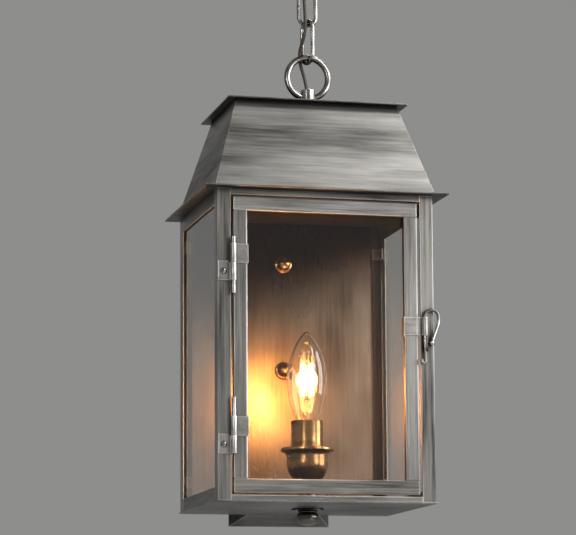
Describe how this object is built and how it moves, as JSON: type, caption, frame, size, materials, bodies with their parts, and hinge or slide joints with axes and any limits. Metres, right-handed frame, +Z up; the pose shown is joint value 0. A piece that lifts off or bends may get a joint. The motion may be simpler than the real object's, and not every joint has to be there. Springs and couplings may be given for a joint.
{
  "type": "hanging lantern",
  "caption": "Rectangular glazed hanging lantern with tapered roof, hinged front door with wire latch, candle lamp, chain and ceiling canopy.",
  "frame": {"origin": "middle of the two ceiling screw holes, on the top face of the ceiling bar where it meets the ceiling", "axes": "+X to the right as one faces the door, +Y from the door to the back plate, +Z up"},
  "size_m": [0.2125, 0.1872, 0.5317],
  "materials": {
    "frame_metal": "antiqued pewter, brushed, edges rubbed bright",
    "plate_metal": "antiqued pewter sheet",
    "back_metal": "antiqued sheet with a brown patina inside",
    "roof_metal": "antiqued pewter sheet, brushed lengthways",
    "door_metal": "antiqued pewter bar, edges rubbed bright",
    "hinge_metal": "antiqued pewter strip",
    "pin_metal": "polished pewter wire",
    "cast_metal": "polished antiqued pewter casting",
    "chain_metal": "polished antiqued pewter wire",
    "canopy_metal": "antiqued pewter spinning",
    "pan_metal": "dark antiqued sheet",
    "bar_steel": "zinc-plated steel",
    "brass_tube": "aged brass",
    "cup_metal": "aged brass spinning",
    "clip_metal": "aged brass strip",
    "pane_glass": "clear sheet glass",
    "bulb_glass": "clear blown glass",
    "stem_glass": "clear glass rod",
    "filament": "lit filaments",
    "holder_plastic": "moulded black",
    "candle_cover": "aged brass tube",
    "cable_cover": "dark flexible cable"
  },
  "bodies": {
    "canopy": {"canopy_dish": "canopy_metal", "ceiling_bar": "bar_steel", "canopy_nipple": "brass_tube", "canopy_nut": "bar_steel", "canopy_eye": "cast_metal"},
    "upper_link": {"link_upper": "chain_metal", "cable_upper": "cable_cover"},
    "lower_link": {"link_lower": "chain_metal", "cable_middle": "cable_cover"},
    "door": {"door_rail_top": "door_metal", "door_rail_bottom": "door_metal", "door_stile_left": "door_metal", "door_stile_right": "door_metal", "door_glass": "pane_glass", "door_glass_clips": "clip_metal", "hinge_strap_upper": "hinge_metal", "hinge_strap_lower": "hinge_metal", "hinge_pins": "pin_metal", "latch_strap": "hinge_metal"},
    "latch": {"latch_wire": "pin_metal"},
    "lantern": {"post_front_left": "frame_metal", "post_front_right": "frame_metal", "post_rear_left": "frame_metal", "post_rear_right": "frame_metal", "side_rail_bottom_left": "frame_metal", "side_rail_bottom_right": "frame_metal", "side_rail_top_left": "frame_metal", "side_rail_top_right": "frame_metal", "front_sill": "frame_metal", "front_lintel": "frame_metal", "floor_plate": "plate_metal", "eave_plate": "plate_metal", "back_plate": "back_metal", "roof_shell": "roof_metal", "cap_plate": "roof_metal", "hinge_leaf_upper": "hinge_metal", "hinge_leaf_lower": "hinge_metal", "latch_keeper": "hinge_metal", "hinge_screws": "pin_metal", "lamp_loop": "cast_metal", "finial_nut": "cast_metal", "finial_washer": "cast_metal", "wall_pan": "pan_metal", "wall_bar": "bar_steel", "lamp_loop_nut": "bar_steel", "lamp_loop_washer": "bar_steel", "lamp_nipple": "brass_tube", "wall_studs": "brass_tube", "back_dome_nuts": "brass_tube", "bulb_cap": "brass_tube", "lamp_cup": "cup_metal", "side_glass_clips": "clip_metal", "side_glass_left": "pane_glass", "side_glass_right": "pane_glass", "bulb_glass": "bulb_glass", "bulb_stem": "stem_glass", "bulb_filaments": "filament", "lampholder": "holder_plastic", "candle_sleeve": "candle_cover", "cable_lower": "cable_cover"}
  },
  "joints": [
    {"name": "upper_link_swing", "type": "hinge", "parent": "canopy", "child": "upper_link", "pos_m": [0, 0, -0.0552], "axis": [0, 1, 0], "range_deg": [-30, 30], "deforming": ["cable_upper"]},
    {"name": "lower_link_swing", "type": "hinge", "parent": "upper_link", "child": "lower_link", "pos_m": [0, 0, -0.0889], "axis": [1, 0, 0], "range_deg": [-30, 30], "deforming": ["cable_middle"]},
    {"name": "lantern_swing", "type": "hinge", "parent": "lower_link", "child": "lantern", "pos_m": [0, 0, -0.1231], "axis": [-0.3907, 0.9205, 0], "range_deg": [-30, 30], "deforming": ["cable_lower"]},
    {"name": "door_hinge", "type": "hinge", "parent": "lantern", "child": "door", "pos_m": [-0.0856, -0.0798, -0.385], "axis": [0, 0, -1], "range_deg": [0, 150]},
    {"name": "latch_lift", "type": "slide", "parent": "door", "child": "latch", "axis": [0, 0, 1], "range_m": [0, 0.02]}
  ]
}
